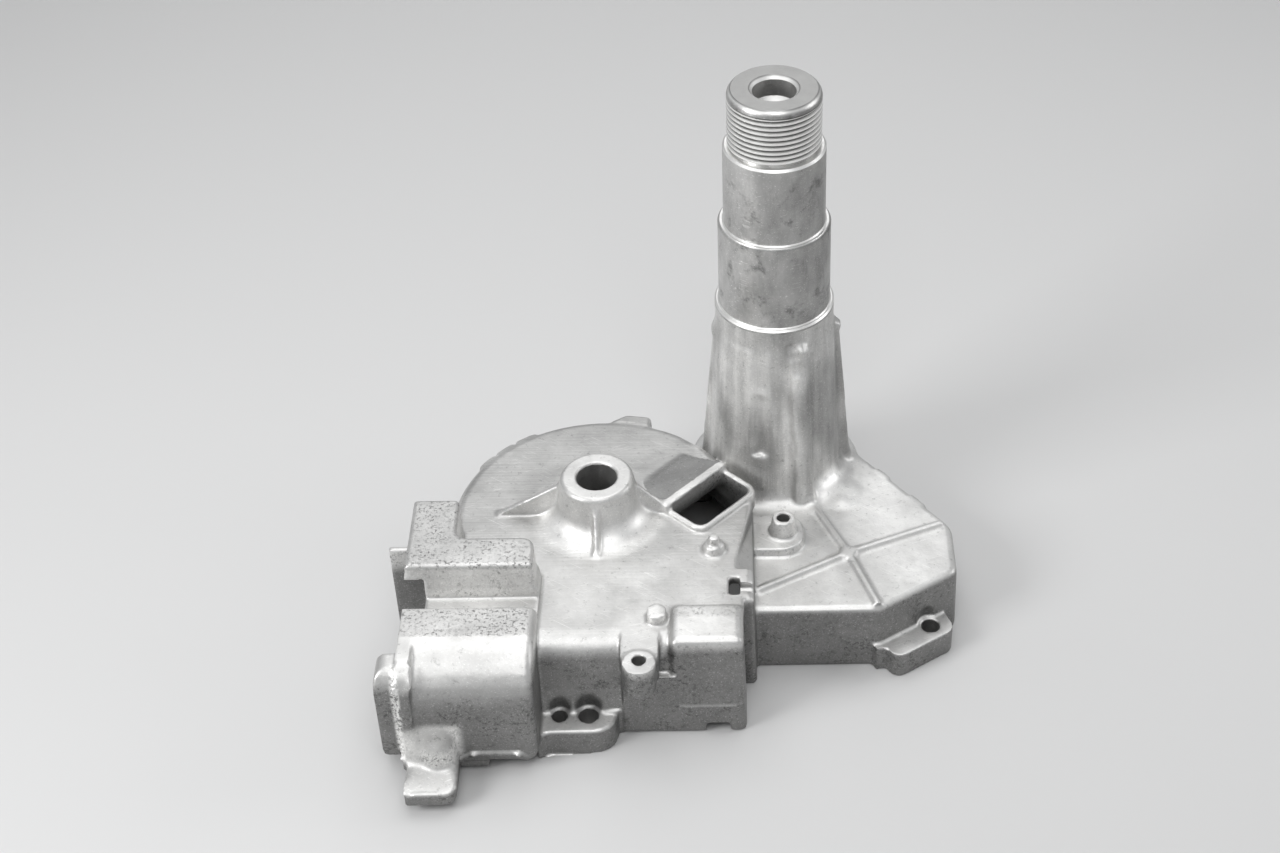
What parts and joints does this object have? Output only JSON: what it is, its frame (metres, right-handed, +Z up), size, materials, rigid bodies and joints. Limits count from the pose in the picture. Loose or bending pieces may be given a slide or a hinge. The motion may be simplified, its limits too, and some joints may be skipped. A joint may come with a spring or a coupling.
{
  "type": "wiper motor gear housing",
  "caption": "Bare die-cast gear housing for a wiper motor: domed gear case with shaft boss, motor bell at the side and a tall threaded spindle tube.",
  "frame": {"origin": "on the spindle axis, in the plane of the bottom rim", "axes": "+Z up the spindle tube, +X along the motor axis away from the motor, +Y from the tunnel's front wall to the gear case"},
  "size_m": [0.1611, 0.1447, 0.1524],
  "materials": {
    "cast_aluminium": "as cast, brushed on the decks and machined on the neck"
  },
  "bodies": {
    "root": {"housing": "cast_aluminium"}
  },
  "joints": []
}
